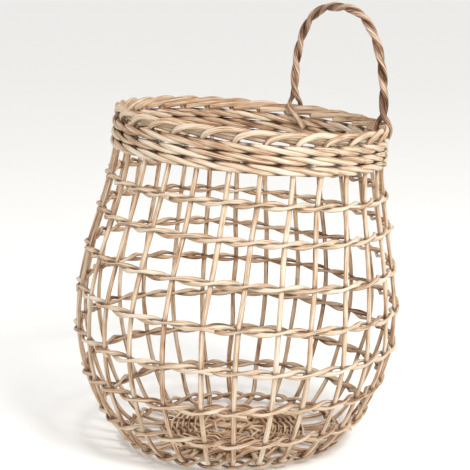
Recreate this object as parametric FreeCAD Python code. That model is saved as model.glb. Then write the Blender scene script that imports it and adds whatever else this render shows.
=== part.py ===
import FreeCAD, Part
import math
import os

# Egg collection basket, woven from round cane.
#
# A flat woven base, 28 upright stakes tied by open rows of pairing, a packed band of
# waling under a rolled border, and a fixed loop handle of two canes twisted together.
# Millimetres, +Z up, origin on the ground under the middle of the belly. The handle
# stands on the +Y side of the rim. Every cane is a solid of its own.

# ---- driving dimensions -------------------------------------------------------------

STAKE_COUNT = 28
STAKE_DIA = 2.6
CLEARANCE = 0.08            # between any two canes that cross

BELLY_RADIUS = 127.0        # wall profile, to the middle of the stakes
BELLY_HEIGHT = 95.0
HEEL_RADIUS = 86.0          # where the wall starts to rise
HEEL_HEIGHT = 7.5
BILGE_RADIUS = 110.0
BILGE_HEIGHT = 39.0
SHOULDER_RADIUS = 118.5
SHOULDER_HEIGHT = 163.0
NECK_RADIUS = 104.0
NECK_HEIGHT = 256.0

LEAN_DEG = 4.6              # the upper wall leans over to one side
LEAN_TOWARDS_DEG = 54.0     # direction of the lean, from +X
LEAN_HEIGHT = 130.0         # the lean builds up to this height
TWIST_DEG = 4.6             # the stakes spiral round by this much, above the belly
STAKE_AT_DEG = 84.9         # where the first stake meets the rim

ROW_DIA = 2.8
ROW_COUNT = 8
FIRST_ROW = 28.0            # from the base edge, along the wall
ROW_PITCH = 31.8
TOP_ROW_PITCH = 26.7        # the last gap is shorter

WALE_DIA = 3.0
WALE_COUNT = 3
BAND_GAP = 26.3             # from the top open row to the first wale
BORDER_SETTLE = 0.7         # the border sinks this far between the crests of the last wale

BASE_STICK_DIA = 3.0
BASE_ROD_DIA = 2.4
BASE_HUB_RADIUS = 24.5      # the first base round is woven outside this
BASE_ROUND_COUNT = 7        # each round makes the base wider
BASE_CROWN = 3.0            # the middle of the base is raised
STICKS_UPPER = 3            # three base sticks laid over four
STICKS_LOWER = 4
STAKE_TUCK = 20.0           # length of stake driven into the base weave
TIE_RADIUS = 14.0
TIE_PITCH = 4.0

HANDLE_DIA = 3.8
HANDLE_FOOT_DEG = 32.5      # each foot, either side of +Y on the rim
HANDLE_RISE = 88.0          # top of the loop over the border
HANDLE_HALF_WIDTH = 57.5
HANDLE_POWER = 2.6          # roundness of the loop's shoulders
HANDLE_TURNS = 6
HANDLE_SPREAD = 20.0        # the canes part over this length above the border
HANDLE_TAIL = 18.0          # each cane runs on this far below the top of the border
HANDLE_DRIFT_DEG = 7.0      # the tails keep on along the twist

AROUND = 6                  # poles round a cane
WALL_STEP = 6.0             # spacing of the points that a stake's line is drawn through
STAKE_STEP = 3.5            # spacing of a stake's poles
LOOP_STEP = 3.5             # the same two spacings for a handle cane
HANDLE_STEP = 3.0

# ---- sizes that follow --------------------------------------------------------------

V = FreeCAD.Vector
PITCH = 2 * math.pi / STAKE_COUNT
ARM_COUNT = 2 * (STICKS_UPPER + STICKS_LOWER)
ARM_PITCH = 2 * math.pi / ARM_COUNT
LEAN = math.radians(LEAN_DEG)
LEAN_DIRECTION = V(math.cos(math.radians(LEAN_TOWARDS_DEG)), math.sin(math.radians(LEAN_TOWARDS_DEG)), 0)


def touch(dia_a, dia_b):
    """Distance between the middles of two canes that just clear each other."""
    return (dia_a + dia_b) / 2 + CLEARANCE


# A base rod has to clear the stick, and the stake beside it where its wave is lower.
BASE_REACH = 1.08 * max(touch(BASE_STICK_DIA, BASE_ROD_DIA), touch(STAKE_DIA, BASE_ROD_DIA))
BASE_ROD_SWING = touch(BASE_ROD_DIA, BASE_ROD_DIA) / 2
BASE_ROUND_PITCH = 2 * touch(BASE_ROD_DIA, BASE_ROD_DIA)
BASE_MID = BASE_REACH + BASE_ROD_DIA / 2
BASE_RADIUS = BASE_HUB_RADIUS + BASE_ROUND_PITCH * (BASE_ROUND_COUNT - 0.5) + BASE_ROD_SWING

ROW_REACH = touch(STAKE_DIA, ROW_DIA)
ROW_SWING = touch(ROW_DIA, ROW_DIA) / 2

WALE_SWING = touch(WALE_DIA, WALE_DIA) / math.sqrt(2)
WALE_PITCH = 2 * WALE_SWING + touch(WALE_DIA, WALE_DIA)


# ---- the wall -----------------------------------------------------------------------

def make_profile():
    """Outline of the wall, from the base edge to the neck, as radius and height."""
    points = [
        V(BASE_RADIUS, BASE_MID, 0),
        V(HEEL_RADIUS, HEEL_HEIGHT, 0),
        V(BILGE_RADIUS, BILGE_HEIGHT, 0),
        V(BELLY_RADIUS, BELLY_HEIGHT, 0),
        V(SHOULDER_RADIUS, SHOULDER_HEIGHT, 0),
        V(NECK_RADIUS, NECK_HEIGHT, 0),
    ]
    curve = Part.BSplineCurve()
    curve.interpolate(points)
    return curve


PROFILE = make_profile()
PROFILE_LENGTH = PROFILE.length()


def crown(radius):
    """Height that the dished base gains at this radius."""
    inside = max(0.0, 1 - (radius / BASE_RADIUS) ** 2)
    return BASE_CROWN * inside ** 2


def profile_at(run):
    """Point and direction of the wall, run mm up from the base edge; negative is the base."""
    if run < 0:
        radius = BASE_RADIUS + run
        return V(radius, BASE_MID + crown(radius), 0), V(1, 0, 0)
    parameter = PROFILE.parameterAtDistance(min(run, PROFILE_LENGTH), PROFILE.FirstParameter)
    along = V(PROFILE.tangent(parameter)[0])
    return PROFILE.value(parameter) + along * max(0.0, run - PROFILE_LENGTH), along


def run_at_height(height):
    """Length of wall from the base edge up to this height."""
    low, high = 0.0, PROFILE_LENGTH
    for step in range(30):
        middle = (low + high) / 2
        if profile_at(middle)[0].y < height:
            low = middle
        else:
            high = middle
    return low


def lean_at(height):
    """Tilt of the basket's axis at this height, and how far it has moved over."""
    start = 2 * BASE_MID
    grown = LEAN_HEIGHT - start
    rise = max(0.0, height - start)
    if rise < grown:
        return LEAN * rise / grown, LEAN * rise * rise / (2 * grown)
    return LEAN, LEAN * (rise - grown / 2)


BELLY_SHIFT = lean_at(BELLY_HEIGHT)[1]


def leaned(point):
    """Move a point of the upright basket to where the leaning basket has it."""
    angle, shift = lean_at(point.z)
    along = point.x * LEAN_DIRECTION.x + point.y * LEAN_DIRECTION.y
    moved = shift - BELLY_SHIFT + along * (math.cos(angle) - 1)
    return point + LEAN_DIRECTION * moved - V(0, 0, along * math.sin(angle))


def wall_middle(angle, run):
    """Point on the stakes' middle surface, at an angle from +X."""
    point, along = profile_at(run)
    return leaned(V(point.x * math.cos(angle), point.x * math.sin(angle), point.y))


def wall(angle, run, out=0.0, up=0.0):
    """Point out mm off the stakes' middle surface, and up mm along it."""
    middle = wall_middle(angle, run)
    along = wall_middle(angle, run + 0.5) - wall_middle(angle, run - 0.5)
    around = wall_middle(angle + 0.01, run) - wall_middle(angle - 0.01, run)
    outward = around.cross(along)
    along.normalize()
    outward.normalize()
    return middle + outward * out + along * up


ROW_RUNS = [FIRST_ROW + ROW_PITCH * i for i in range(ROW_COUNT - 1)]
ROW_RUNS.append(ROW_RUNS[-1] + TOP_ROW_PITCH)
WALE_RUNS = [ROW_RUNS[-1] + BAND_GAP + WALE_PITCH * i for i in range(WALE_COUNT)]
BORDER_RUN = WALE_RUNS[-1] + WALE_SWING + touch(WALE_DIA, STAKE_DIA) - BORDER_SETTLE
TWIST_START = run_at_height(LEAN_HEIGHT)


def twist_at(run):
    """How far the stakes have spiralled round at this run."""
    share = (run - TWIST_START) / (BORDER_RUN - TWIST_START)
    return math.radians(TWIST_DEG) * min(1.0, max(0.0, share))


def stake_angle(index, run):
    """Angle of a stake: in pairs beside the base sticks, evenly spread on the wall."""
    even = math.radians(STAKE_AT_DEG - TWIST_DEG) + index * PITCH
    if run >= FIRST_ROW:
        return even + twist_at(run)
    side = 1 if index % 2 else -1
    arm = even - side * PITCH / 2
    radius = max(BASE_RADIUS + run, 1.0)
    beside = touch(STAKE_DIA, BASE_STICK_DIA) / min(radius, BASE_RADIUS)
    share = min(1.0, max(0.0, run / FIRST_ROW))
    eased = share * share * (3 - 2 * share)
    return arm + side * (beside + (PITCH / 2 - beside) * eased)


def arm_angle(index):
    """Angle of an arm of the base cross."""
    return math.radians(STAKE_AT_DEG - TWIST_DEG) + PITCH / 2 + index * ARM_PITCH


# ---- canes --------------------------------------------------------------------------

def poles_through(points, closed):
    """Poles of the uniform cubic spline that passes through the points."""
    poles = list(points)
    count = len(points)
    for step in range(5):
        moved = []
        for i in range(count):
            if not closed and i in (0, count - 1):
                moved.append(points[i])
                continue
            blend = (poles[i - 1] + poles[i] * 4 + poles[(i + 1) % count]) * (1 / 6)
            moved.append(poles[i] + points[i] - blend)
        poles = moved
    return poles


def cane(points, dia, closed=False):
    """Round cane along a smooth line: a ring, or a length with two cut ends."""
    poles = poles_through(points, closed)
    count = len(poles)
    reach = dia / 2 * 3 / (2 + math.cos(2 * math.pi / AROUND))
    side = V(0, 0, 1)
    net = []
    for i, pole in enumerate(poles):
        if closed:
            ahead = poles[(i + 1) % count] - poles[i - 1]
            side = V(0, 0, 1)
        else:
            ahead = poles[min(i + 1, count - 1)] - poles[max(i - 1, 0)]
            if i == 0 and abs(ahead.z) > 0.9 * ahead.Length:
                side = V(1, 0, 0)
        ahead.normalize()
        side = side - ahead * side.dot(ahead)
        side.normalize()
        across = ahead.cross(side)
        ring = []
        for k in range(AROUND):
            turn = 2 * math.pi * k / AROUND
            ring.append(pole + side * (reach * math.cos(turn)) + across * (reach * math.sin(turn)))
        net.append(ring)
    surface = Part.BSplineSurface()
    around_knots = list(range(AROUND + 1))
    if closed:
        along_mults = [1] * (count + 1)
    else:
        along_mults = [4] + [1] * (count - 4) + [4]
    along_knots = list(range(len(along_mults)))
    surface.buildFromPolesMultsKnots(
        net, along_mults, [1] * (AROUND + 1), along_knots, around_knots, closed, True, 3, 3)
    if closed:
        return Part.Solid(Part.Shell([surface.toShape()]))
    first, last, start, end = surface.bounds()
    sides = []
    for low, high in ((start, (start + end) / 2), ((start + end) / 2, end)):
        half = surface.copy()
        half.segment(first, last, low, high)
        sides.append(half.toShape())
    caps = []
    for place in (first, last):
        rim = [arc.toShape() for arc in end_curves(surface, place)]
        caps.append(Part.Face(Part.Wire(rim)))
    shell = Part.Shell(sides + caps)
    shell.sewShape()
    solid = Part.Solid(shell)
    if solid.Volume < 0:
        solid.reverse()
    return solid


def end_curves(surface, place):
    """The two halves of the circle that a cane's end is cut to."""
    whole = surface.uIso(place)
    middle = (whole.FirstParameter + whole.LastParameter) / 2
    halves = []
    for low, high in ((whole.FirstParameter, middle), (middle, whole.LastParameter)):
        half = whole.copy()
        half.segment(low, high)
        halves.append(half)
    return halves


# ---- woven rounds -------------------------------------------------------------------

def wave(phase):
    """In-and-out wave of a rod: a cosine with flatter crests."""
    return math.cos(phase) * (1 + 0.5 * math.sin(phase) ** 2)


def rod_ring(run, crossings, rods, index, reach, swing, dia, first_angle):
    """One rod of a round: it rides out and in past the uprights, and turns about its mates."""
    waves = crossings // rods
    samples = waves * 8 * max(1, rods // 2)
    points = []
    for i in range(samples):
        angle = 2 * math.pi * i / samples
        phase = waves * (angle - first_angle) + 2 * math.pi * index / rods
        points.append(wall(angle, run, reach * wave(phase), swing * math.sin(phase)))
    return cane(points, dia, closed=True)


def open_row(number):
    """Two rods paired round all the stakes."""
    run = ROW_RUNS[number]
    first = stake_angle(0, run)
    rods = [rod_ring(run, STAKE_COUNT, 2, k, ROW_REACH, ROW_SWING, ROW_DIA, first) for k in range(2)]
    return Part.makeCompound(rods)


def rim_wale(number):
    """Four rods, each in front of two stakes and behind two."""
    run = WALE_RUNS[number]
    first = stake_angle(0, run) - PITCH / 2
    reach = touch(STAKE_DIA, WALE_DIA) / wave(math.pi / 4)
    rods = [rod_ring(run, STAKE_COUNT, 4, k, reach, -WALE_SWING, WALE_DIA, first) for k in range(4)]
    return Part.makeCompound(rods)


def base_round(number):
    """Two rods paired round the arms of the base cross."""
    outermost = BASE_RADIUS - BASE_ROD_SWING
    run = outermost - BASE_ROUND_PITCH * number - BASE_RADIUS
    first = arm_angle(0)
    rods = [
        rod_ring(run, ARM_COUNT, 2, k, BASE_REACH, BASE_ROD_SWING, BASE_ROD_DIA, first)
        for k in range(2)
    ]
    return Part.makeCompound(rods)


# ---- base cross ---------------------------------------------------------------------

FAN_START = TIE_RADIUS + TIE_PITCH
CROSS_LIFT = touch(BASE_STICK_DIA, BASE_STICK_DIA) / 2


def cross_height(radius, upper):
    """Height of a stick: the two groups part at the middle, and meet where they fan out."""
    share = min(1.0, max(0.0, (radius - FAN_START) / (BASE_HUB_RADIUS - FAN_START)))
    eased = 1 - share * share * (3 - 2 * share)
    lift = CROSS_LIFT if upper else -CROSS_LIFT
    return BASE_MID + crown(radius) + lift * eased


def group_direction(upper):
    """Direction that a group of sticks lies in: the middle of the arms it opens into."""
    lower_middle = arm_angle(0) + (STICKS_LOWER - 1) / 2 * ARM_PITCH
    return lower_middle + (math.pi / 2 if upper else 0.0)


def base_stick(number, upper):
    """Straight over the middle beside its mates, then fanned out to two even arms."""
    count = STICKS_UPPER if upper else STICKS_LOWER
    middle = group_direction(upper)
    rank = number - (count - 1) / 2
    half = []
    radius = 0.0
    while radius < BASE_RADIUS - 0.5:
        share = min(1.0, max(0.0, (radius - TIE_RADIUS) / (BASE_HUB_RADIUS - TIE_RADIUS)))
        eased = share * share * (3 - 2 * share)
        beside = rank * touch(BASE_STICK_DIA, BASE_STICK_DIA)
        packed = math.asin(max(-1.0, min(1.0, beside / max(radius, abs(beside) + 0.01))))
        turn = packed * (1 - eased) + rank * ARM_PITCH * eased
        if radius < TIE_RADIUS:
            half.append((math.sqrt(max(radius ** 2 - beside ** 2, 0.0)), beside, radius))
        else:
            half.append((radius * math.cos(turn), radius * math.sin(turn), radius))
        radius += 3.0
    half = [p for p in half if p[0] > 1.0]
    points = []
    for x, y, radius in reversed(half):
        points.append(V(-x, y, cross_height(radius, upper)))
    for x, y, radius in half:
        points.append(V(x, y, cross_height(radius, upper)))
    turned = []
    for p in points:
        turned.append(leaned(V(
            p.x * math.cos(middle) - p.y * math.sin(middle),
            p.x * math.sin(middle) + p.y * math.cos(middle),
            p.z)))
    return cane(turned, BASE_STICK_DIA)


def base_tie():
    """Two tie rods bind the cross: each goes over one group and under the other."""
    rods = []
    for k in range(2):
        radius = TIE_RADIUS + TIE_PITCH * k
        reach = touch(BASE_STICK_DIA, BASE_ROD_DIA)
        height = -(CROSS_LIFT + reach) if k == 0 else reach - CROSS_LIFT
        points = []
        for i in range(48):
            angle = 2 * math.pi * i / 48
            square = max(-1.0, min(1.0, 1.6 * math.cos(2 * (angle - group_direction(False)))))
            z = BASE_MID + crown(radius) + height * math.sin(math.pi / 2 * square)
            points.append(leaned(V(radius * math.cos(angle), radius * math.sin(angle), z)))
        rods.append(cane(points, BASE_ROD_DIA, closed=True))
    return Part.makeCompound(rods)


# ---- stakes -------------------------------------------------------------------------

# The rolled border, followed along one stake: how many stakes along, how far out, how
# high. The stake comes out and up past its neighbours' tails, bends over the top, and
# sinks down the inside to its cut end.
BORDER_PATH = [
    (0.00, 0.0, -2.0),
    (0.05, 0.5, 0.6),
    (0.16, 1.6, 3.0),
    (0.35, 2.2, 5.0),
    (0.55, 1.9, 6.4),
    (0.85, 0.9, 7.1),
    (1.20, -0.2, 6.5),
    (1.60, -1.2, 5.3),
    (2.00, -2.0, 4.2),
    (2.50, -2.6, 2.7),
    (3.00, -3.0, 1.1),
]
BORDER_PATH_DIA = 2.6       # the thickness of stake that this path is drawn for
BORDER_SCALE = touch(STAKE_DIA, STAKE_DIA) / touch(BORDER_PATH_DIA, BORDER_PATH_DIA)
BORDER_TOP = BORDER_SCALE * max(up for along, out, up in BORDER_PATH) + STAKE_DIA / 2
BORDER_INSIDE = -BORDER_SCALE * min(out for along, out, up in BORDER_PATH)


def evened(points, spacing):
    """The same smooth line with its points evenly spaced."""
    curve = Part.BSplineCurve()
    curve.interpolate(points)
    return curve.discretize(Number=1 + round(curve.length() / spacing))


def stake(index):
    """One cane: driven in beside a base stick, up the wall, and rolled into the border."""
    upright = BORDER_RUN - WALL_STEP
    count = round((upright + STAKE_TUCK) / WALL_STEP)
    points = []
    for i in range(count + 1):
        run = -STAKE_TUCK + (upright + STAKE_TUCK) * i / count
        points.append(wall(stake_angle(index, run), run))
    for along, out, up in BORDER_PATH:
        angle = stake_angle(index, BORDER_RUN) + along * PITCH
        points.append(wall(angle, BORDER_RUN, out * BORDER_SCALE, up * BORDER_SCALE))
    return cane(evened(points, STAKE_STEP), STAKE_DIA)


# ---- handle -------------------------------------------------------------------------

FOOT = math.radians(HANDLE_FOOT_DEG)
FOOT_RUN = BORDER_RUN + BORDER_TOP / 2
STRADDLE_BAND = touch(STAKE_DIA, WALE_DIA) / wave(math.pi / 4) + touch(WALE_DIA, HANDLE_DIA)
STRADDLE_BORDER = BORDER_INSIDE + touch(STAKE_DIA, HANDLE_DIA)
STRADDLE = max(STRADDLE_BAND, STRADDLE_BORDER) + CLEARANCE


def handle_middle(share):
    """Middle line of the loop: share 0 is the foot on the -X side, 1 the foot on +X."""
    left = wall(math.pi / 2 + FOOT, FOOT_RUN)
    right = wall(math.pi / 2 - FOOT, FOOT_RUN)
    side = -1 if share < 0.5 else 1
    foot = left if side < 0 else right
    turn = math.pi * min(share, 1 - share)
    rise = math.sin(turn) ** (2 / HANDLE_POWER)
    centre = (left + right) * 0.5
    foot_half = (right - left).Length / 2
    top = max(left.z, right.z) + HANDLE_RISE
    half = HANDLE_HALF_WIDTH * max(0.0, math.cos(turn)) ** (2 / HANDLE_POWER)
    half += (foot_half - HANDLE_HALF_WIDTH) * (1 - rise) ** 4
    return V(
        centre.x + side * half,
        foot.y + (centre.y - foot.y) * rise,
        foot.z + (top - foot.z) * rise)


def handle_line():
    """Evenly spaced points along the loop, from foot to foot."""
    fine = [handle_middle(i / 600) for i in range(601)]
    lengths = [0.0]
    for a, b in zip(fine, fine[1:]):
        lengths.append(lengths[-1] + (b - a).Length)
    count = round(lengths[-1] / LOOP_STEP)
    points = []
    place = 0
    for i in range(count + 1):
        want = lengths[-1] * i / count
        while place < 599 and lengths[place + 1] < want:
            place += 1
        share = (want - lengths[place]) / (lengths[place + 1] - lengths[place])
        points.append(fine[place] + (fine[place + 1] - fine[place]) * share)
    return points, lengths[-1]


def tail(foot_angle, outer):
    """Points of a cane below the foot, from its cut end up; it lies along the band."""
    reach = STRADDLE if outer else -STRADDLE
    drift = math.radians(HANDLE_DRIFT_DEG) * (1 if outer else -1)
    end_run = BORDER_RUN + BORDER_TOP - HANDLE_TAIL
    count = max(2, round((FOOT_RUN - end_run) / LOOP_STEP))
    points = []
    for i in range(count):
        share = i / count
        angle = foot_angle + drift * (1 - share)
        points.append(wall(angle, end_run + (FOOT_RUN - end_run) * share, reach))
    return points


def handle_cane(outer):
    """One of the two canes, twisted about the other over the loop."""
    middle, length = handle_line()
    count = len(middle) - 1
    twist_radius = touch(HANDLE_DIA, HANDLE_DIA) / 2
    points = []
    for i, place in enumerate(middle):
        travelled = length * i / count
        ahead = middle[min(i + 1, count)] - middle[max(i - 1, 0)]
        ahead.normalize()
        sideways = V(0, 1, 0)
        outward = ahead.cross(sideways)
        outward.normalize()
        if outward.x * (1 if i > count / 2 else -1) < 0 and abs(ahead.z) > 0.2:
            outward = outward * -1
        if abs(ahead.z) <= 0.2 and outward.z < 0:
            outward = outward * -1
        nearest = min(travelled, length - travelled)
        share = min(1.0, nearest / HANDLE_SPREAD)
        eased = share * share * (3 - 2 * share)
        radius = STRADDLE + (twist_radius - STRADDLE) * eased
        turn = math.pi / 2 - FOOT + 2 * math.pi * HANDLE_TURNS * travelled / length
        if not outer:
            turn += math.pi
        points.append(place + outward * (radius * math.cos(turn)) + sideways * (radius * math.sin(turn)))
    left = tail(math.pi / 2 + FOOT, outer)
    right = tail(math.pi / 2 - FOOT, outer)
    return cane(evened(left + points + right[::-1], HANDLE_STEP), HANDLE_DIA)


# ---- nodes --------------------------------------------------------------------------

def build():
    """Every node by name."""
    nodes = {}
    for i in range(STICKS_LOWER):
        nodes["base_stick_lower_%d" % (i + 1)] = base_stick(i, False)
    for i in range(STICKS_UPPER):
        nodes["base_stick_upper_%d" % (i + 1)] = base_stick(i, True)
    nodes["base_tie"] = base_tie()
    for i in range(BASE_ROUND_COUNT):
        nodes["base_round_%d" % (i + 1)] = base_round(i)
    for i in range(STAKE_COUNT):
        nodes["stake_%02d" % (i + 1)] = stake(i)
    for i in range(ROW_COUNT):
        nodes["open_row_%d" % (i + 1)] = open_row(i)
    for i in range(WALE_COUNT):
        nodes["rim_wale_%d" % (i + 1)] = rim_wale(i)
    nodes["handle_cane_outer"] = handle_cane(True)
    nodes["handle_cane_inner"] = handle_cane(False)
    return nodes


os.makedirs("parts", exist_ok=True)
for name, shape in build().items():
    shape.exportStep("parts/%s.step" % name)
    if not shape.isValid():
        print("not valid:", name)
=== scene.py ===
# %% [markdown]
# # An egg basket woven from round cane
#
# The basket is nothing but canes: uprights called stakes, pairs of weavers that run
# round them, a packed band and a rolled border at the rim, a flat woven base, and a
# loop handle of two canes twisted together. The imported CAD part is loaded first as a
# fixed frame. It holds every cane as a plain round bar, in its true place. The cells
# below read the places from that frame and make each cane again as a natural one,
# with grain, taper and a little unevenness. The natural canes are drawn flatter and
# wider than the frame's bars, so they press into each other a little where they cross.

# %% Load the frame
import math
import bpy
import numpy as np
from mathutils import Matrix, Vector


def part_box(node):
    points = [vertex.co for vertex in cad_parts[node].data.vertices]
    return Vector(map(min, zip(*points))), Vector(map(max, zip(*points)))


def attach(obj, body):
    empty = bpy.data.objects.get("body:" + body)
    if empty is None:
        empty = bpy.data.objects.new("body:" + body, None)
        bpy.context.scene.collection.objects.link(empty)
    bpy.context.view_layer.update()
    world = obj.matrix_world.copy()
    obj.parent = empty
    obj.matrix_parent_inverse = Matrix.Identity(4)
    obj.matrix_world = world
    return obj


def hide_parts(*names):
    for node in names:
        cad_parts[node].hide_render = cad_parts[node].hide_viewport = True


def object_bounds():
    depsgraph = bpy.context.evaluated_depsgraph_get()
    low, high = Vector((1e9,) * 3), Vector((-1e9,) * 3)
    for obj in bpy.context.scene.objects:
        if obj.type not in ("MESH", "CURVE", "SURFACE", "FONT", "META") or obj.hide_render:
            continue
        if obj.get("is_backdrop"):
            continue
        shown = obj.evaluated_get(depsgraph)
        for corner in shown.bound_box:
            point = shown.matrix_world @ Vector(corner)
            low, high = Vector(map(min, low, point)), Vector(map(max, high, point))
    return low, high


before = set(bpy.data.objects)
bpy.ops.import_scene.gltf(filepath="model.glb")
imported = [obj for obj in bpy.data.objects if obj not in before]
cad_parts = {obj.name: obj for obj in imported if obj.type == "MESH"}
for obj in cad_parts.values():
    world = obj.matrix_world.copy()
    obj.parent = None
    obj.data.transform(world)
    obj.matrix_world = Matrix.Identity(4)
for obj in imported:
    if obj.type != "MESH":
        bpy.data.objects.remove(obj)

CAD_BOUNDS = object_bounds()
print("nodes in the frame:", len(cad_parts))

# %% [markdown]
# ## Units and chance
#
# Everything is in metres. Sizes of canes are easier to think of in millimetres, so MM
# turns one into the other. Natural cane is never even, but the picture has to come out
# the same each time, so every random draw comes from one seeded source.

# %% Units and one seeded source of chance
MM = 0.001
chance = np.random.default_rng(28)

STAKE_COUNT = sum(name.startswith("stake_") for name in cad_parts)
ROW_COUNT = sum(name.startswith("open_row_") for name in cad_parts)
WALE_COUNT = sum(name.startswith("rim_wale_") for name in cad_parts)
BASE_COUNT = sum(name.startswith("base_round_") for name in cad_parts)
print("stakes", STAKE_COUNT, "rows", ROW_COUNT, "wales", WALE_COUNT, "base rounds", BASE_COUNT)

# %% [markdown]
# ## Rings: the wall's shape, read from the frame
#
# Each round of weaving is a ring about the basket's axis. Its middle, its radius and
# its tilt say where the wall is at that height. A plane fitted to the ring's points
# gives all three: the points lie about the middle, the direction in which they spread
# least is the ring's axis, and the mean distance from the middle is the radius.
# Reading boxes would be simpler, but a tilted ring's box doesn't give its radius.

# %% Read one ring
def mesh_points(mesh):
    """All points of a mesh, as an array of rows x, y, z."""
    flat = np.empty(3 * len(mesh.vertices))
    mesh.vertices.foreach_get("co", flat)
    return flat.reshape(-1, 3)


def node_points(name):
    """All mesh points of a CAD node."""
    return mesh_points(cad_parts[name].data)


def box_middle(name):
    """Middle of a node's box."""
    low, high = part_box(name)
    return (np.array(low) + np.array(high)) / 2


def ring_of(name):
    """Middle, axis and mean radius of a ring-shaped node, by a least-squares plane. The
    middle is halfway between the box's middle and the mean point."""
    points = node_points(name)
    middle = (box_middle(name) + points.mean(0)) / 2
    spread = np.linalg.svd(points - middle, full_matrices=False)[2]
    axis = spread[2] * np.sign(spread[2][2])
    flat = points - middle - np.outer((points - middle) @ axis, axis)
    return middle, axis, np.linalg.norm(flat, axis=1).mean()


ring_names = ["base_round_%d" % k for k in range(BASE_COUNT, 0, -1)]
ring_names += ["open_row_%d" % (k + 1) for k in range(ROW_COUNT)]
ring_names += ["rim_wale_%d" % (k + 1) for k in range(WALE_COUNT)]
rings = [ring_of(name) for name in ring_names]
ring_middle = np.array([r[0] for r in rings])
ring_axis = np.array([r[1] for r in rings])
ring_radius = np.array([r[2] for r in rings])
print("radius in mm:", np.round(ring_radius / MM, 1))
print("height in mm:", np.round(ring_middle[:, 2] / MM, 1))

# %% [markdown]
# ## From rings to a smooth wall
#
# The wall between two rings is filled in with a cubic through the ring values, whose
# slope at each ring is the mean slope of its two neighbours. It passes through every
# ring exactly and never kinks, which is how a bent cane behaves. How far up the wall
# a ring lies is called its run: the distance walked from the innermost base round,
# outwards along the base and then up the side.

# %% Smooth values between the rings
def smooth(x, knots, values):
    """Cubic through the knots. On a span: h00 v0 + h10 w m0 + h01 v1 + h11 w m1, with
    the usual Hermite weights h of the share t along the span, and its width w."""
    knots = np.asarray(knots, float)
    values = np.asarray(values, float)
    columns = values.reshape(len(knots), -1)
    slopes = np.gradient(columns, knots, axis=0)
    x = np.asarray(x, float)
    k = np.clip(np.searchsorted(knots, x) - 1, 0, len(knots) - 2)
    width = knots[k + 1] - knots[k]
    raw = (x - knots[k]) / width
    t = np.clip(raw, 0, 1)[..., None]
    w = width[..., None]
    result = (2 * t**3 - 3 * t**2 + 1) * columns[k] + (t**3 - 2 * t**2 + t) * w * slopes[k]
    result = result + (3 * t**2 - 2 * t**3) * columns[k + 1] + (t**3 - t**2) * w * slopes[k + 1]
    past = (raw - np.clip(raw, 0, 1))[..., None] * w
    result = result + past * np.where(past > 0, slopes[k + 1], slopes[k])
    return result.reshape(x.shape + values.shape[1:])


steps = np.hypot(np.diff(ring_radius), np.linalg.norm(np.diff(ring_middle, axis=0), axis=1))
ring_run = np.concatenate([[0.0], np.cumsum(steps)])
run_of = dict(zip(ring_names, ring_run))
print("run in mm:", np.round(ring_run / MM, 1))

# %% The wall itself
def unit(v):
    """Vectors scaled to length one."""
    return v / np.linalg.norm(v, axis=-1, keepdims=True)


def eased(share):
    """0 to 1 with level ends: 3 s squared minus 2 s cubed."""
    share = np.clip(share, 0, 1)
    return share * share * (3 - 2 * share)


def wall_middle(angle, run):
    """Middle of the wall: the ring's middle plus its radius, turned by the angle in the
    ring's own plane."""
    angle, run = np.broadcast_arrays(np.asarray(angle, float), np.asarray(run, float))
    middle = smooth(run, ring_run, ring_middle)
    axis = unit(smooth(run, ring_run, ring_axis))
    radius = smooth(run, ring_run, ring_radius)[..., None]
    first = unit(np.array([1.0, 0, 0]) - axis * axis[..., :1])
    second = np.cross(axis, first)
    return middle + radius * (np.cos(angle)[..., None] * first + np.sin(angle)[..., None] * second)


def wall(angle, run, out=0.0, up=0.0):
    """Point off the wall by out, and along it by up, with the outward direction there.
    Along and around are differences of the wall; outward is their cross product."""
    step = 0.5 * MM
    along = unit(wall_middle(angle, run + step) - wall_middle(angle, run - step))
    around = unit(wall_middle(angle + 0.01, run) - wall_middle(angle - 0.01, run))
    outward = unit(np.cross(around, along))
    out, up = np.asarray(out)[..., None], np.asarray(up)[..., None]
    return wall_middle(angle, run) + outward * out + along * up, outward

# %% [markdown]
# ## Where the stakes stand
#
# The rods of every round go in front of one stake and behind the next, so they have to
# know where the stakes are. For each stake and each ring, the points of the stake that
# lie close to the ring give its angle there. Real stakes are set by eye, so each one
# also wanders a little from its even place, most at the belly and not at all in the
# tight base and rim.

# %% Read the stakes' angles and let them wander
FIRST_RING = BASE_COUNT - 4          # the stakes are driven in under the outer base rounds
knot_run = ring_run[FIRST_RING:]


def angle_on_ring(points, k):
    """Mean angle of the points that pass within 5 mm of ring k, about its axis."""
    offset = points - ring_middle[k]
    height = offset @ ring_axis[k]
    flat = offset - np.outer(height, ring_axis[k])
    close = np.hypot(np.linalg.norm(flat, axis=1) - ring_radius[k], height) < 5 * MM
    direction = unit(flat[close]).mean(0)
    return math.atan2(direction[1], direction[0])


even_angle = np.zeros((STAKE_COUNT, len(knot_run)))
for i in range(STAKE_COUNT):
    points = node_points("stake_%02d" % (i + 1))
    for j in range(len(knot_run)):
        even_angle[i, j] = angle_on_ring(points, FIRST_RING + j)
even_angle = np.unwrap(even_angle, axis=1)
even_angle[1:] += 2 * np.pi * np.round((even_angle[0] + np.arange(1, STAKE_COUNT)[:, None]
    * 2 * np.pi / STAKE_COUNT - even_angle[1:]) / (2 * np.pi))

belly = np.interp(knot_run, [run_of["base_round_1"], run_of["open_row_2"],
    run_of["open_row_8"], run_of["rim_wale_1"]], [0.0, 1.0, 0.8, 0.25])
shift_mm = chance.normal(0, 1.1, (STAKE_COUNT, 1)) + chance.normal(0, 0.55, (STAKE_COUNT, len(knot_run)))
stake_table = even_angle + np.clip(shift_mm, -2.6, 2.6) * MM * belly / ring_radius[FIRST_RING:]
print("stake spacing at the belly in degrees: %.1f to %.1f" % (
    np.degrees(np.diff(stake_table[:, 8])).min(), np.degrees(np.diff(stake_table[:, 8])).max()))


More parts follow.
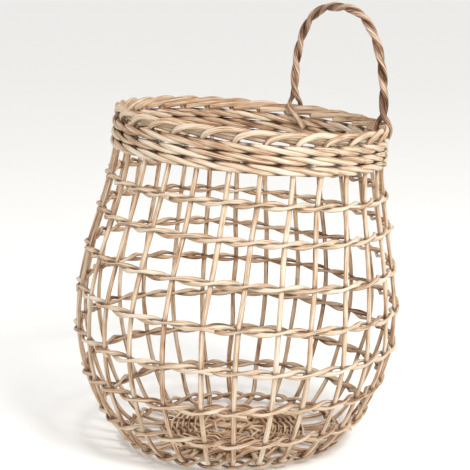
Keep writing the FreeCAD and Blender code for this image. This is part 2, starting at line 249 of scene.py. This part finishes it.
def stake_angle(index, run):
    """Angle of a stake at each run. An index past the last stake is a turn further on."""
    turn = 2 * np.pi * (index // STAKE_COUNT)
    return smooth(run, knot_run, stake_table[index % STAKE_COUNT]) + turn


def stake_number(angle, run):
    """The stake number, with its fraction, that lies at each angle on a ring."""
    numbers = np.arange(-STAKE_COUNT, 2 * STAKE_COUNT)
    angles = np.array([float(stake_angle(n, run)) for n in numbers])
    return smooth(angle, angles, numbers)

# %% [markdown]
# ## A cane
#
# A cane is a section carried along a path. The section is nearly an ellipse: peeled
# cane is pressed flatter where it bends round another. Two slow ripples run round the
# section and drift along the cane, so that no two cuts through it are alike. The
# surface could be a curve object with a bevel, but a curve can't carry the grain's own
# coordinates. So the points are worked out here, and each point keeps three things for
# the material: where it is in the cane's own grain, how pale the cane is there, with
# painted light on its outward side and painted shade on its edges, and how much painted
# shade it gets from the crevices between canes.

# %% A section carried along a path
SECTION_POINTS = 12


def drift(length, reach, size):
    """Slow even noise along a length: a sum of four sines with drawn waves and phases."""
    waves = reach * chance.uniform(0.6, 1.9, 4)
    phases = chance.uniform(0, 2 * np.pi, 4)
    sines = np.sin(2 * np.pi * np.asarray(length)[..., None] / waves + phases)
    return size * sines.sum(-1) / 2


def closed_drift(turn, lowest, highest, size):
    """The same round a ring: whole numbers of waves in a turn, so that it joins up."""
    waves = chance.integers(lowest, highest + 1, 5)
    phases = chance.uniform(0, 2 * np.pi, 5)
    return size * np.sin(np.asarray(turn)[..., None] * waves + phases).sum(-1) / 2.2


def cane(path, outward, wide, thick, closed=False, tone=0.0, nook=0.0, painted_shade_side=None):
    """Section point j at path point i is path + outward thick/2 cos a + across wide/2 sin a,
    times one plus the ripples. wide, thick, tone and nook may change along the path.
    painted_shade_side is a pair, outward and across, that points at the crevice beside the
    cane; the cane's side towards it gets painted shade. The tone is painted paler on the
    outward side and darker at the edges, as painted light and shade."""
    count = len(path)
    ahead = np.roll(path, -1, 0) - np.roll(path, 1, 0) if closed else np.gradient(path, axis=0)
    ahead = unit(ahead)
    across = unit(np.cross(ahead, outward))
    outward = np.cross(across, ahead)
    gaps = np.linalg.norm(np.diff(path, axis=0), axis=1)
    length = np.concatenate([[0.0], np.cumsum(gaps)])
    a = 2 * np.pi * np.arange(SECTION_POINTS) / SECTION_POINTS
    turn = 2 * np.pi * length / length[-1]
    lean2 = closed_drift(turn, 2, 9, 1.2)[:, None]
    lean3 = closed_drift(turn, 3, 12, 1.6)[:, None]
    size = 1 + closed_drift(turn, 4, 20, 0.03)[:, None]
    ripple = size * (1 + 0.035 * np.cos(2 * a + lean2) + 0.03 * np.cos(3 * a + lean3))
    x = np.broadcast_to(np.asarray(thick, float) / 2, count)[:, None] * np.cos(a) * ripple
    y = np.broadcast_to(np.asarray(wide, float) / 2, count)[:, None] * np.sin(a) * ripple
    points = path[:, None] + outward[:, None] * x[..., None] + across[:, None] * y[..., None]
    grain = np.stack([x, y, np.broadcast_to(length[:, None], x.shape)], -1)
    grain = grain + chance.uniform(0, 5, 3)
    # painted light and shade on the cane's own tone: 0.1 cos a makes the outward side paler and the inward
    # side browner, and 0.25 sin^4 a darkens the edges
    tone_with_painted_light = np.broadcast_to(np.asarray(tone, float), count)[:, None] + 0.1 * np.cos(a) - 0.25 * np.sin(a) ** 4
    painted_shade_amount = np.broadcast_to(np.asarray(nook, float), count)[:, None] + 0 * a
    # painted shade on the side of the cane that faces the crevice beside it
    if painted_shade_side is not None:
        facing = painted_shade_side[0][:, None] * np.cos(a) + painted_shade_side[1][:, None] * np.sin(a)
        painted_shade_amount = np.maximum(painted_shade_amount, np.clip(facing, 0, 1) ** 1.5)
    return {"points": points, "grain": grain, "tone": tone_with_painted_light, "nook": painted_shade_amount, "closed": closed}


def cane_faces(rows, closed):
    """Quads between neighbouring sections, as numbers of rows * SECTION_POINTS points."""
    i = np.arange(rows if closed else rows - 1)[:, None] * SECTION_POINTS
    j = np.arange(SECTION_POINTS)[None]
    k = (j + 1) % SECTION_POINTS
    below = (i + SECTION_POINTS) % (rows * SECTION_POINTS)
    return np.stack([i + j, i + k, below + k, below + j], -1).reshape(-1, 4)

# %% [markdown]
# ## From canes to a piece
#
# A piece is one mesh made of one or more canes. A ring of cane closes on itself. A cut
# length gets two ends: a small bevel, as a knife leaves, and a flat face of quads and
# triangles that closes the surface.

# %% Put canes into a mesh
def with_ends(made):
    """A cut cane with a bevel ring, an inner ring and a middle point row at each end."""
    points = made["points"]
    rows = []
    for end, inner in ((0, 1), (-1, -2)):
        middle = points[end].mean(0)
        push = unit(middle - points[inner].mean(0)) * 0.25 * MM
        bevel = middle + (points[end] - middle) * 0.86 + push
        flat = middle + (points[end] - middle) * 0.02 + push * 1.3
        rows.append([bevel, flat])
    made["points"] = np.concatenate([[rows[0][1], rows[0][0]], points, rows[1]])
    for key in ("grain", "tone", "nook"):
        value = made[key]
        made[key] = np.concatenate([value[:1], value[:1], value, value[-1:], value[-1:]])
    return made


def piece(name, canes, material, slot, *nodes):
    """One object made of the canes, riding on the basket, in place of its CAD nodes."""
    points, faces, grain, tone, nook = [], [], [], [], []
    base = 0
    for made in canes:
        if not made["closed"]:
            made = with_ends(made)
        rows = len(made["points"])
        quads = cane_faces(rows, made["closed"]) + base
        faces.extend(quads.tolist())
        if not made["closed"]:
            ring = np.arange(SECTION_POINTS)
            faces.append((base + ring[::-1]).tolist())
            faces.append((base + (rows - 1) * SECTION_POINTS + ring).tolist())
        points.append(made["points"].reshape(-1, 3))
        grain.append(made["grain"].reshape(-1, 3))
        tone.append(made["tone"].ravel())
        nook.append(made["nook"].ravel())
        base += rows * SECTION_POINTS
    mesh = bpy.data.meshes.new(name)
    mesh.from_pydata(np.concatenate(points).tolist(), [], faces)
    mesh.polygons.foreach_set("use_smooth", np.ones(len(mesh.polygons), bool))
    for key, kind, field, values in (
        ("grain", "FLOAT_VECTOR", "vector", grain),
        ("tone", "FLOAT", "value", tone),
        ("nook", "FLOAT", "value", nook),
    ):
        layer = mesh.attributes.new(key, kind, "POINT")
        layer.data.foreach_set(field, np.concatenate(values).ravel())
    mesh.materials.append(material)
    mesh.update()
    thing = bpy.data.objects.new(name, mesh)
    bpy.context.scene.collection.objects.link(thing)
    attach(thing, "root")
    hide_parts(*nodes)
    return thing

# %% [markdown]
# ## The finish: peeled cane
#
# The canes are peeled and dried, never varnished. Drying leaves fine lines along the
# length, pale fibre between browner pores, and a colour that wanders from cream to tan
# along one cane and jumps between canes. On top of that, light and shade are painted
# in: each cane's outward side is painted paler and its inward side browner, its edges
# darker, and where canes touch a painted shade darkens it towards deep brown. A wood
# texture made for planks would run straight through the object, so the noise is read
# in the cane's own grain coordinates and stretched along the length.

# %% Colours and one function that adds a node
def linear(colour):
    """An sRGB hex colour as linear red, green, blue and one."""
    parts = [int(colour[i:i + 2], 16) / 255 for i in (1, 3, 5)]
    return tuple(c / 12.92 if c <= 0.04045 else ((c + 0.055) / 1.055) ** 2.4 for c in parts) + (1.0,)


def add(tree, kind, settings=None, **links):
    """Adds a node. settings are its own properties; links and values go to its inputs,
    by name, with spaces written as underscores, or by number as in_0."""
    node = tree.nodes.new(kind)
    for key, value in (settings or {}).items():
        setattr(node, key, value)
    for key, value in links.items():
        place = int(key[3:]) if key.startswith("in_") else key.replace("_", " ")
        if isinstance(value, bpy.types.NodeSocket):
            tree.links.new(value, node.inputs[place])
        else:
            node.inputs[place].default_value = value
    return node


def ramp(tree, factor, stops):
    """A colour ramp with these (place, hex colour) stops."""
    node = add(tree, "ShaderNodeValToRGB", Fac=factor)
    elements = node.color_ramp.elements
    while len(elements) < len(stops):
        elements.new(0.5)
    for element, (place, colour) in zip(elements, stops):
        element.position = place
        element.color = linear(colour)
    return node.outputs["Color"]

# %% The peeled cane material
FIBRE = 0.7 * MM       # real pores are 0.2 mm apart; drawn coarser so that they show
FIBRE_LENGTH = 22 * MM
STAIN = 16 * MM        # patches of browner cane


def peeled_cane(name, stops, shade, roughness=0.62):
    """Matt dry cane: streaks along the grain, slow stains, and painted shade in the crevices."""
    material = bpy.data.materials.new(name)
    material.use_nodes = True
    tree = material.node_tree
    tree.nodes.clear()
    grain = add(tree, "ShaderNodeAttribute", {"attribute_name": "grain"}).outputs["Vector"]
    tone = add(tree, "ShaderNodeAttribute", {"attribute_name": "tone"}).outputs["Fac"]
    nook = add(tree, "ShaderNodeAttribute", {"attribute_name": "nook"}).outputs["Fac"]
    drawn = add(tree, "ShaderNodeVectorMath", {"operation": "MULTIPLY"}, in_0=grain,
        in_1=(1 / FIBRE, 1 / FIBRE, 1 / FIBRE_LENGTH)).outputs[0]
    fibre = add(tree, "ShaderNodeTexNoise", Vector=drawn, Scale=1.0, Detail=3.0, Roughness=0.6).outputs["Fac"]
    patch = add(tree, "ShaderNodeTexNoise", Vector=grain, Scale=1 / STAIN, Detail=2.0).outputs["Fac"]
    fibre_part = add(tree, "ShaderNodeMath", {"operation": "MULTIPLY_ADD"}, in_0=fibre, in_1=2.4,
        in_2=-1.2).outputs[0]
    patch_part = add(tree, "ShaderNodeMath", {"operation": "MULTIPLY_ADD"}, in_0=patch, in_1=0.7,
        in_2=0.2).outputs[0]
    total = add(tree, "ShaderNodeMath", {"operation": "ADD"}, in_0=fibre_part, in_1=patch_part).outputs[0]
    total = add(tree, "ShaderNodeMath", {"operation": "ADD", "use_clamp": True}, in_0=total,
        in_1=tone).outputs[0]
    colour = ramp(tree, total, stops)
    # painted shade: the colour is mixed towards a dark brown where canes touch
    painted_shade_mix = add(tree, "ShaderNodeMapRange", Value=nook, in_1=0.15, in_2=0.95, in_3=0.0, in_4=0.85).outputs[0]
    mixed = add(tree, "ShaderNodeMix", {"data_type": "RGBA"}, in_0=painted_shade_mix, in_6=colour,
        in_7=linear(shade)).outputs[2]
    bump = add(tree, "ShaderNodeBump", Height=fibre, Strength=0.35, Distance=0.15 * MM).outputs[0]
    shader = add(tree, "ShaderNodeBsdfPrincipled", Base_Color=mixed, Roughness=roughness, Normal=bump,
        IOR=1.45, Specular_IOR_Level=0.35)
    add(tree, "ShaderNodeOutputMaterial", Surface=shader.outputs[0])
    return material


CREAM_TO_TAN = [(0.0, "#6C4429"), (0.25, "#A07C5E"), (0.5, "#BFA386"), (0.75, "#CFBCA4"), (1.0, "#D8CCBA")]
# a warmer ramp for the base, painted lighter to stand in for light that reaches the basket's floor
TAN_PAINTED_LIGHTER = [(0.0, "#5C3A22"), (0.25, "#9C7556"), (0.5, "#C4A182"), (0.75, "#D8BE9F"), (1.0, "#E4D3BC")]
BROWN = [(0.0, "#3F2618"), (0.25, "#76533B"), (0.5, "#A5836A"), (0.75, "#C9AF96"), (1.0, "#E2D4C2")]
# the dark brown of the painted shade where canes touch
PAINTED_SHADE_BROWN = "#371C0D"
weaver_finish = peeled_cane("peeled cane, weavers", CREAM_TO_TAN, PAINTED_SHADE_BROWN)
stake_finish = peeled_cane("peeled cane, stakes", CREAM_TO_TAN, PAINTED_SHADE_BROWN)
# the base canes get the ramp that is painted lighter
base_finish_painted_lighter = peeled_cane("peeled cane, base", TAN_PAINTED_LIGHTER, PAINTED_SHADE_BROWN)
handle_finish = peeled_cane("peeled cane, handle", BROWN, PAINTED_SHADE_BROWN, roughness=0.5)

# %% [markdown]
# ## Rods woven round the stakes
#
# A rod's place follows from one angle, its phase. The phase grows by half a turn from
# one stake to the next in pairing, and by a quarter turn in the rim's waling, where a
# rod passes two stakes before it changes sides. The cosine of the phase, with flatter
# crests, takes the rod out and in. The sine lifts and lowers it, so that it turns about
# its mates between the stakes.

# %% One rod of a round
ROD_STEPS = 20          # points along a rod between two stakes
OPEN_SHADE = 0.75       # how dark the painted shade is on the side towards its mate in an open round


def wave(phase):
    """Cosine with flatter crests: cos p (1 + half of sin squared p)."""
    return np.cos(phase) * (1 + 0.5 * np.sin(phase) ** 2)


def rod(run, numbering, period, index, mates, reach, swing, wide, thick, wander, tone, packed=False):
    """A closed rod. Phase = turns of the period by stake number + its share of the mates.
    Lift = sin p (1 + 0.3 cos squared p), steeper than a sine where the rod shows most.
    In a packed round the rod is narrow where it dives in between its mates, and painted
    dark there as shade. In an open one it is narrow where it is pulled tight round a
    stake. Its side towards its mates gets painted shade, fainter in an open round."""
    angle = 2 * np.pi * np.arange(STAKE_COUNT * ROD_STEPS) / (STAKE_COUNT * ROD_STEPS)
    phase = 2 * np.pi * (numbering(angle) / period + index / mates)
    looseness = 1 + closed_drift(angle, 5, 17, 0.10)
    lift = np.sin(phase) * (1 + 0.3 * np.cos(phase) ** 2)
    path, outward = wall(angle, run + wander(angle), reach * wave(phase), swing * lift * looseness)
    # painted shade on the side of the rod that faces its mates
    shade = 1.0 if packed else OPEN_SHADE
    side = (-shade * wave(phase), shade * np.sign(swing) * lift)
    waist = 0.22 * np.sin(phase) ** 2 if packed else 0.42 * np.cos(phase) ** 2
    width = wide * (1 - waist + closed_drift(angle, 7, 30, 0.05))
    # painted shade where a packed rod dives in between its mates
    nook = 1.1 * np.clip(1 - 2.6 * np.abs(np.cos(phase)), 0, 1) if packed else 0.0
    return cane(path, outward, width, thick, True, tone(angle), nook, side)


def lengths_of_cane(angle, pieces, spread):
    """Paleness round a ring: each weaver in it has its own, and drifts a little."""
    edges = np.sort(chance.uniform(0, 2 * np.pi, pieces))
    own = chance.normal(0, spread, pieces)
    return own[np.searchsorted(edges, angle) % pieces] + closed_drift(angle, 2, 11, 0.05)


def wandering(low, high, size):
    """A function of the angle that lets a whole round rise and dip together."""
    waves = chance.integers(low, high + 1, 4)
    phases = chance.uniform(0, 2 * np.pi, 4)
    return lambda angle: size * np.sin(angle[..., None] * waves + phases).sum(-1) / 2

# %% The open rows
STAKE_DIA = 2.6 * MM
ROW_WIDE = 4.2 * MM
ROW_THICK = 2.6 * MM
ROW_SWING = ROW_WIDE * 0.38
CUT_ENDS = 2            # weavers that end in a row, each with its cut end left outside
CUT_LENGTH = 9 * MM
CUT_DROP = 0.8 * MM
CUT_STAND = 2.0 * MM


def cut_end(run, number, wander):
    """A weaver's last few millimetres past a stake, as a share of the cut length: it
    drops below the row and stands off the wall."""
    share = np.linspace(0, 1, 8)
    turned = share * CUT_LENGTH / smooth(run, ring_run, ring_radius)
    angle = stake_angle(number, np.full(8, run)) + turned
    path, outward = wall(angle, run + wander(angle) - CUT_DROP * share, STAKE_DIA + CUT_STAND * share)
    return cane(path, outward, ROW_WIDE * (0.75 - 0.1 * share), ROW_THICK * 0.8, False, 0.05)


for k in range(ROW_COUNT):
    name = "open_row_%d" % (k + 1)
    run = run_of[name]
    wander = wandering(2, 6, 0.9 * MM)
    numbering = lambda angle: stake_number(angle, run)
    rods = []
    for index in range(2):
        rods.append(rod(run, numbering, 2, index, 2, (STAKE_DIA + ROW_THICK) / 2, ROW_SWING,
            ROW_WIDE, ROW_THICK, wander, lambda angle: lengths_of_cane(angle, 3, 0.13)))
    for number in chance.choice(STAKE_COUNT, CUT_ENDS, replace=False):
        rods.append(cut_end(run, number, wander))
    made = piece("row_%d_weavers" % (k + 1), rods, weaver_finish, "weaver_cane", name)
print("rows:", ROW_COUNT, "last has", len(made.data.polygons), "faces")

# %% [markdown]
# ## The band of waling
#
# Three packed rounds lock the stakes before the border. Each is four rods: every rod
# rides in front of two stakes and behind two, so the band shows long strokes that
# slope down to the right.

# %% The wales
WALE_WIDE = 4.3 * MM
WALE_THICK = 2.8 * MM
WALE_SWING = 2.1 * MM

for k in range(WALE_COUNT):
    name = "rim_wale_%d" % (k + 1)
    run = run_of[name]
    wander = wandering(2, 5, 0.25 * MM)
    numbering = lambda angle: stake_number(angle, run) + 0.5
    rods = []
    for index in range(4):
        reach = (STAKE_DIA + WALE_THICK) / 2 / wave(math.pi / 4)
        rods.append(rod(run, numbering, 4, index, 4, reach, -WALE_SWING, WALE_WIDE, WALE_THICK, wander,
            lambda angle: lengths_of_cane(angle, 4, 0.14), True))
    piece("wale_%d_rods" % (k + 1), rods, weaver_finish, "weaver_cane", name)
print("wales:", WALE_COUNT)

# %% [markdown]
# ## Stakes and the rolled border
#
# A stake starts in the base weave, runs out and up the wall, and its own end makes the
# border. It comes up outside its neighbours' tails, bends over the top to the right,
# and sinks down the inside, where it is cut off. The bend is drawn as a short list of
# places in the wall's own directions: how many stakes along, how far out and how high.
# Each stake repeats it, so the border closes on itself with one scallop for each
# stake.

# %% A stake with its rolled end
BORDER_PATH = np.array([
    (0.00, 0.0, -2.0),
    (0.05, 0.5, 0.6),
    (0.16, 1.6, 3.0),
    (0.35, 2.2, 5.0),
    (0.55, 1.9, 6.4),
    (0.85, 0.9, 7.1),
    (1.20, -0.2, 6.5),
    (1.60, -1.2, 5.3),
    (2.00, -2.0, 4.2),
    (2.50, -2.6, 2.7),
    (3.00, -3.0, 1.1),
])
BORDER_RUN = run_of["rim_wale_%d" % WALE_COUNT] + 4.36 * MM
STAKE_WIDE, STAKE_THICK = 4.1 * MM, 3.0 * MM
ROLLED_WIDE, ROLLED_THICK = 4.7 * MM, 3.3 * MM
TUCK_RUN = run_of["base_round_4"] - 3.0 * MM


def length_along(path):
    """Length walked from the first point to each point."""
    return np.concatenate([[0.0], np.cumsum(np.linalg.norm(np.diff(path, axis=0), axis=1))])


def evened(path, step):
    """The same line with evenly spaced points, and each point's share of the length."""
    length = length_along(path)
    share = np.linspace(0, 1, 2 + int(length[-1] / step))
    return smooth(share, length / length[-1], path), share


def rolled_end(index):
    """The border part of a stake: the list above, made dense and laid on the wall."""
    share = np.linspace(0, 1, 60)
    along, out, up = smooth(share, np.linspace(0, 1, len(BORDER_PATH)), BORDER_PATH).T
    near = np.array([float(stake_angle(index + n, BORDER_RUN)) for n in range(5)])
    angle = np.interp(along, np.arange(5), near)
    loose = 1 + chance.normal(0, 0.04) + drift(along, 2.5, 0.03)
    return wall(angle, BORDER_RUN, out * MM * loose, up * MM * loose)


def stake(index):
    """The whole cane: up the wall, then the rolled end, where it is pressed wider."""
    run = np.arange(TUCK_RUN, BORDER_RUN - 4 * MM, 4 * MM)
    upright, outward = wall(stake_angle(index, run), run)
    rolled, rolled_outward = rolled_end(index)
    path = np.concatenate([upright, rolled])
    outward = np.concatenate([outward, rolled_outward])
    length = length_along(path)
    path, share = evened(path, 1.6 * MM)
    outward = smooth(share, length / length[-1], outward)
    along = share * length[-1]
    rolling = eased((along - length[len(upright)]) / (6 * MM))
    # painted shade in dark bands where each round crosses the stake
    ring_place = np.interp(knot_run, run, length[:len(run)])
    nook = 0.8 * np.exp(-((along[:, None] - ring_place) / (2.4 * MM)) ** 2).max(1)
    tone = chance.normal(0, 0.08) + drift(along, 0.09, 0.05)
    wide = STAKE_WIDE + (ROLLED_WIDE - STAKE_WIDE) * rolling
    thick = STAKE_THICK + (ROLLED_THICK - STAKE_THICK) * rolling
    return cane(path, outward, wide, thick, False, tone, nook)


for index in range(STAKE_COUNT):
    name = "stake_%02d" % (index + 1)
    piece(name + "_cane", [stake(index)], stake_finish, "stake_cane", name)
print("stakes:", STAKE_COUNT)

# %% [markdown]
# ## The base
#
# Three sticks lie over four at the middle and are bound by two tie rods. Past the ties
# they open out into evenly spread arms, and the base rounds are paired round the arms.
# The rounds here are packed, so no light shows between them.

# %% Arms and base rounds
ARM_COUNT = STAKE_COUNT // 2
BASE_ROD = 2.5 * MM
BASE_STICK = 3.0 * MM
BASE_REACH = (np.array(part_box("base_round_1")[1]) - np.array(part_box("base_round_1")[0]))[2] / 2 - 1.2 * MM

first_arm = (even_angle[0, 0] + even_angle[1, 0]) / 2
base_middle = ring_middle[0].copy()


def arm_number(angle):
    """The arm number, with its fraction, at each angle."""
    return (angle - first_arm) / (2 * np.pi / ARM_COUNT)


for k in range(BASE_COUNT):
    name = "base_round_%d" % (k + 1)
    run = run_of[name]
    wander = wandering(2, 5, 0.15 * MM)
    rods = []
    for index in range(2):
        rods.append(rod(run, arm_number, 2, index, 2, BASE_REACH, 1.24 * MM,
            BASE_ROD, BASE_ROD * 0.96, wander, lambda angle: lengths_of_cane(angle, 2, 0.09)))
    piece("base_round_%d_rods" % (k + 1), rods, base_finish_painted_lighter, "base_cane", name)
print("base rounds:", BASE_COUNT, "reach in mm:", round(BASE_REACH / MM, 2))

# %% Sticks and ties
LOWER, UPPER = 4, 3
TIE_RADIUS = 14 * MM
FAN_END = ring_radius[0] - 2.4 * MM
LIFT = 1.54 * MM                      # the upper sticks above, the lower ones below the middle
LEVEL_END = 18 * MM                   # out to here each layer stays level
STICK_PITCH = 3.1 * MM
STICK_END = ring_radius[BASE_COUNT - 1] + 0.9 * MM


def base_height(radius):
    """Height of the arms' middle at this radius."""
    return np.interp(radius, ring_radius[:BASE_COUNT], ring_middle[:BASE_COUNT, 2])


def base_stick(number, upper):
    """Side by side over the middle, then turned little by little on to its arm."""
    count = UPPER if upper else LOWER
    middle = first_arm + (LOWER - 1) / 2 * 2 * np.pi / ARM_COUNT + (np.pi / 2 if upper else 0)
    rank = number - (count - 1) / 2
    beside = rank * STICK_PITCH
    radius = np.linspace(abs(beside) + 0.5 * MM, STICK_END, 60)
    packed = np.arcsin(beside / radius)
    opening = eased((radius - TIE_RADIUS) / (FAN_END - TIE_RADIUS))
    turn = packed + (rank * 2 * np.pi / ARM_COUNT - packed) * opening
    x, y = radius * np.cos(turn), radius * np.sin(turn)
    level = 1 - eased((radius - LEVEL_END) / (FAN_END - LEVEL_END))
    height = base_height(radius) + (LIFT if upper else -LIFT) * level
    x = np.concatenate([-x[::-1], x])
    y = np.concatenate([y[::-1], y])
    z = np.concatenate([height[::-1], height])
    across_x = x * np.cos(middle) - y * np.sin(middle)
    across_y = x * np.sin(middle) + y * np.cos(middle)
    path = np.stack([across_x, across_y, z], 1)
    path[:, :2] += base_middle[:2]
    path = evened(path, 1.5 * MM)[0]
    upwards = np.tile([0, 0, 1.0], (len(path), 1))
    return cane(path, upwards, BASE_STICK, BASE_STICK, False, chance.normal(0, 0.08))


for i in range(LOWER):
    piece("base_stick_lower_%d_cane" % (i + 1), [base_stick(i, False)], base_finish_painted_lighter, "base_cane",
        "base_stick_lower_%d" % (i + 1))
for i in range(UPPER):
    piece("base_stick_upper_%d_cane" % (i + 1), [base_stick(i, True)], base_finish_painted_lighter, "base_cane",
        "base_stick_upper_%d" % (i + 1))

ties = []
for radius, height in ((TIE_RADIUS, -4.3 * MM), (TIE_RADIUS + 4 * MM, 1.25 * MM)):
    angle = 2 * np.pi * np.arange(180) / 180
    group = first_arm + (LOWER - 1) / 2 * 2 * np.pi / ARM_COUNT
    square = np.sin(np.pi / 2 * np.clip(1.6 * np.cos(2 * (angle - group)), -1, 1))
    rim_height = base_height(radius) + height * square
    path = np.stack([radius * np.cos(angle), radius * np.sin(angle), rim_height], 1)
    path[:, :2] += base_middle[:2]
    ties.append(cane(path, np.tile([0, 0, 1.0], (180, 1)), BASE_ROD, BASE_ROD, True, 0.0))
piece("base_tie_rods", ties, base_finish_painted_lighter, "base_cane", "base_tie")
print("base sticks:", LOWER + UPPER)

# %% [markdown]
# ## The handle
#
# Two thicker canes are bent together into a loop and twisted round each other as they
# go. The loop is a superellipse, rounder at the shoulders than an ellipse. At each foot
# the canes part: one goes down outside the band, the other inside it, and each is cut
# off where it lies along the band.

# %% The loop's middle line
HANDLE_DIA = 4.2 * MM
HANDLE_TURNS = 6
HANDLE_POWER = 2.6
HANDLE_HALF_WIDTH = 57.5 * MM
FOOT = math.radians(32.5)
SPREAD = 13 * MM
TWIST_RADIUS = HANDLE_DIA * 0.43
STRADDLE = 6.96 * MM
FOOT_RUN = BORDER_RUN + 4.2 * MM
TAIL_RUN = BORDER_RUN + 8.4 * MM - 18 * MM      # the cut ends, 18 mm below the border's top
TAIL_DRIFT = math.radians(7)
LOOP_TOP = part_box("handle_cane_outer")[1].z - TWIST_RADIUS - HANDLE_DIA / 2

left_foot = wall(np.pi / 2 + FOOT, FOOT_RUN)[0]
right_foot = wall(np.pi / 2 - FOOT, FOOT_RUN)[0]
share = np.linspace(0, 1, 801)
side = np.where(share < 0.5, -1.0, 1.0)
foot = np.where(side[:, None] < 0, left_foot, right_foot)
turn = np.pi * np.minimum(share, 1 - share)
rise = np.sin(turn) ** (2 / HANDLE_POWER)
centre = (left_foot + right_foot) / 2
foot_half = np.linalg.norm(right_foot - left_foot) / 2
half = HANDLE_HALF_WIDTH * np.clip(np.cos(turn), 0, 1) ** (2 / HANDLE_POWER)
half = half + (foot_half - HANDLE_HALF_WIDTH) * (1 - rise) ** 4
loop = np.stack([centre[0] + side * half, foot[:, 1] + (centre[1] - foot[:, 1]) * rise,
    foot[:, 2] + (LOOP_TOP - foot[:, 2]) * rise], 1)
loop, loop_share = evened(loop, 1.2 * MM)
loop_length = np.linalg.norm(np.diff(loop, axis=0), axis=1).sum()
print("loop length in mm:", round(loop_length / MM, 1))

# %% Two twisted canes with their tails
def tail(foot_angle, outer):
    """From the cut end up to the foot: it lies along the band, outside or inside."""
    side = 1 if outer else -1
    share = np.arange(4) / 4.4
    angle = foot_angle + side * TAIL_DRIFT * (1 - share)
    off = STRADDLE * (1 - 0.35 * (1 - share) ** 3 * outer)
    return wall(angle, TAIL_RUN + (FOOT_RUN - TAIL_RUN) * share, side * off)


def handle_cane(outer):
    """Loop point + outward r cos t + sideways r sin t, where t makes the turns, and r
    widens from the twist to the straddle near the feet. The section is flat against the
    other cane."""
    travelled = loop_share * loop_length
    ahead = unit(np.gradient(loop, axis=0))
    sideways = np.array([0, 1.0, 0])
    outward = unit(np.cross(ahead, sideways))
    near = np.minimum(travelled, loop_length - travelled)
    radius = STRADDLE + (TWIST_RADIUS - STRADDLE) * eased(near / SPREAD)
    t = np.pi / 2 - FOOT + 2 * np.pi * HANDLE_TURNS * travelled / loop_length + (0 if outer else np.pi)
    away = outward * np.cos(t)[:, None] + sideways * np.sin(t)[:, None]
    left, left_away = tail(np.pi / 2 + FOOT, outer)
    right, right_away = tail(np.pi / 2 - FOOT, outer)
    side = 1 if outer else -1
    path = np.concatenate([left, (loop + away * radius[:, None])[3:-3:3], right[::-1]])
    away = np.concatenate([side * left_away, away[3:-3:3], side * right_away[::-1]])
    length = length_along(path)
    place = np.linspace(0, length[-1], 420)
    tone = chance.normal(-0.12, 0.04) + drift(place, 0.11, 0.07)
    return cane(smooth(place, length, path), smooth(place, length, away), HANDLE_DIA * 1.2,
        HANDLE_DIA * 0.9, False, tone)


for outer, name in ((True, "handle_cane_outer"), (False, "handle_cane_inner")):
    made = piece(name + "_natural", [handle_cane(outer)], handle_finish, "handle_cane", name)
    low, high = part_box(name)
    points = mesh_points(made.data)
    print(name, "off the frame's box by mm:", np.round((points.min(0) - low) / MM, 1),
        np.round((points.max(0) - high) / MM, 1))

# %% [markdown]
# ## Floor, light and camera
#
# A plain pale floor and a soft light from the upper right, with a weaker one from the
# left, show the weave without hard shadows.

# %% Floor and world
def plain(name, colour, roughness):
    """A plain matt material."""
    material = bpy.data.materials.new(name)
    material.use_nodes = True
    shader = material.node_tree.nodes["Principled BSDF"]
    shader.inputs["Base Color"].default_value = linear(colour)
    shader.inputs["Roughness"].default_value = roughness
    return material


FLOOR = 60.0            # half its side, so that its edge is never seen
mesh = bpy.data.meshes.new("floor")
corners = FLOOR * np.array([(-1, -1, 0), (1, -1, 0), (1, 1, 0), (-1, 1, 0)])
mesh.from_pydata(corners.tolist(), [], [(0, 1, 2, 3)])
floor = bpy.data.objects.new("floor", mesh)
bpy.context.scene.collection.objects.link(floor)
mesh.materials.append(plain("floor", "#F7F6F3", 0.9))
floor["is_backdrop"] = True

world = bpy.data.worlds.new("studio")
bpy.context.scene.world = world
world.use_nodes = True
world.node_tree.nodes["Background"].inputs["Color"].default_value = (1, 1, 1, 1)
world.node_tree.nodes["Background"].inputs["Strength"].default_value = 0.9
bpy.context.scene.view_settings.view_transform = "Standard"

# %% Lights and camera
VIEW_AZIMUTH = math.radians(54)
VIEW_ELEVATION = math.radians(11.4)
VIEW_DISTANCE = 1.119
VIEW_TARGET = (0, 0, 0.1674)


def aimed(thing, azimuth, elevation, distance):
    """Stands a light or a camera off the target at these angles, looking at it."""
    away = Vector((math.sin(azimuth) * math.cos(elevation), -math.cos(azimuth) * math.cos(elevation),
        math.sin(elevation)))
    thing.location = Vector(VIEW_TARGET) + distance * away
    thing.rotation_euler = away.to_track_quat("Z", "Y").to_euler()
    bpy.context.scene.collection.objects.link(thing)


def soft_light(name, azimuth, elevation, distance, size, power):
    """A square area light."""
    lamp = bpy.data.lights.new(name, "AREA")
    lamp.size = size
    lamp.energy = power
    aimed(bpy.data.objects.new(name, lamp), azimuth, elevation, distance)


soft_light("key", VIEW_AZIMUTH + math.radians(32), math.radians(42), 1.8, 0.5, 24)
soft_light("fill", VIEW_AZIMUTH - math.radians(60), math.radians(25), 1.8, 1.2, 2)

camera = bpy.data.objects.new("camera", bpy.data.cameras.new("camera"))
camera.data.sensor_width = 36
camera.data.lens = 107.7
camera.data.clip_end = 20
aimed(camera, VIEW_AZIMUTH, VIEW_ELEVATION, VIEW_DISTANCE)
bpy.context.scene.camera = camera

# %% Sizes, and the end
VISUAL_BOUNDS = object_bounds()
for corner, new_corner in zip(CAD_BOUNDS, VISUAL_BOUNDS):
    print("grown by mm:", [round(float(b - a) / MM, 1) for a, b in zip(corner, new_corner)])
